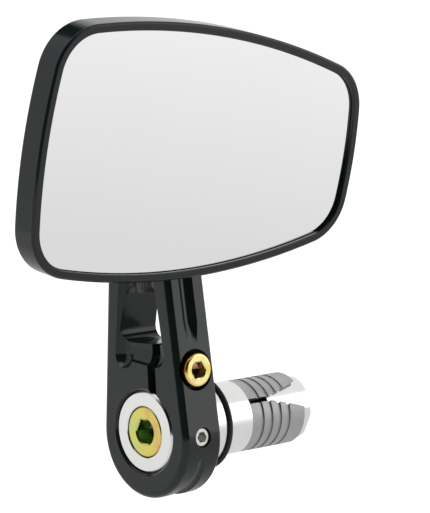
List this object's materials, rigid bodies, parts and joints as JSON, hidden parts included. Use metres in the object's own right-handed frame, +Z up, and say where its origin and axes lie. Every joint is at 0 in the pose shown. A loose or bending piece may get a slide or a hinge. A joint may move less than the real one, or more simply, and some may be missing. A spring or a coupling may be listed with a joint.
{
  "type": "bar-end mirror",
  "caption": "Bar-end mirror with an expanding bar plug, a slit clamp arm with a window, and a flat wing-shaped head that swivels and tilts.",
  "frame": {"origin": "centre of the bar's end face, on the bar's axis", "axes": "+X along the bar's axis into the bar, +Z up the arm at rest, the mirror faces -Y"},
  "size_m": [0.1057, 0.0478, 0.1244],
  "materials": {
    "black_anodised": "black anodised, satin",
    "bright_aluminium": "turned and polished",
    "soft_ring": "moulded, matt",
    "yellow_zinc": "yellow passivated zinc",
    "zinc_steel": "bright zinc",
    "black_steel": "black oxide, oiled",
    "cast_jaw": "as cast, machined on the ramp",
    "white_slip": "turned slip plastic",
    "foam_pad": "foam, matt",
    "mirror": "silvered glass, flat"
  },
  "bodies": {
    "root": {"adapter": "bright_aluminium", "end_ring": "soft_ring", "bolt_washer": "zinc_steel"},
    "bolt": {"expander_bolt": "yellow_zinc"},
    "nut": {"expander_nut": "bright_aluminium"},
    "jaw_a": {"jaw_1": "cast_jaw"},
    "jaw_b": {"jaw_2": "cast_jaw"},
    "jaw_c": {"jaw_3": "cast_jaw"},
    "arm_body": {"arm": "black_anodised", "clamp_screw": "yellow_zinc", "grub_screw": "zinc_steel", "friction_ring": "white_slip"},
    "swivel": {"swivel_screw": "black_steel", "swivel_spring": "zinc_steel", "swivel_block": "black_anodised"},
    "head": {"tilt_bolt": "black_steel", "tilt_nut": "zinc_steel", "tilt_washers": "white_slip", "head_bracket": "black_anodised", "bracket_screws": "black_steel", "mirror_housing": "black_anodised", "glass_pad": "foam_pad", "mirror_glass": "mirror"}
  },
  "joints": [
    {"name": "arm_turn", "type": "hinge", "parent": "root", "child": "arm_body", "pos_m": [-0.0136, 0, 0], "axis": [1, 0, 0], "continuous": true},
    {"name": "head_swivel", "type": "hinge", "parent": "arm_body", "child": "swivel", "pos_m": [-0.0136, 0, 0.05], "axis": [0, 0, 1], "continuous": true},
    {"name": "head_tilt", "type": "hinge", "parent": "swivel", "child": "head", "pos_m": [-0.0136, -0.008, 0.073], "axis": [1, 0, 0], "range_deg": [-25, 2]},
    {"name": "bolt_turn", "type": "hinge", "parent": "root", "child": "bolt", "pos_m": [0, 0, 0], "axis": [1, 0, 0], "range_deg": [0, 1080]},
    {"name": "nut_slide", "type": "slide", "parent": "root", "child": "nut", "axis": [-1, 0, 0], "range_m": [0, 0.00375]},
    {"name": "jaw_a_slide", "type": "slide", "parent": "root", "child": "jaw_a", "axis": [0, 0, 1], "range_m": [0, 0.000798]},
    {"name": "jaw_b_slide", "type": "slide", "parent": "root", "child": "jaw_b", "axis": [0, -0.866, -0.5], "range_m": [0, 0.000798]},
    {"name": "jaw_c_slide", "type": "slide", "parent": "root", "child": "jaw_c", "axis": [0, 0.866, -0.5], "range_m": [0, 0.000798]}
  ],
  "couplings": [
    {"joint": "nut_slide", "follows": "bolt_turn", "m_per_rad": 0.00019894},
    {"joint": "jaw_a_slide", "follows": "bolt_turn", "m_per_rad": 0.000042287},
    {"joint": "jaw_b_slide", "follows": "bolt_turn", "m_per_rad": 0.000042287},
    {"joint": "jaw_c_slide", "follows": "bolt_turn", "m_per_rad": 0.000042287}
  ]
}
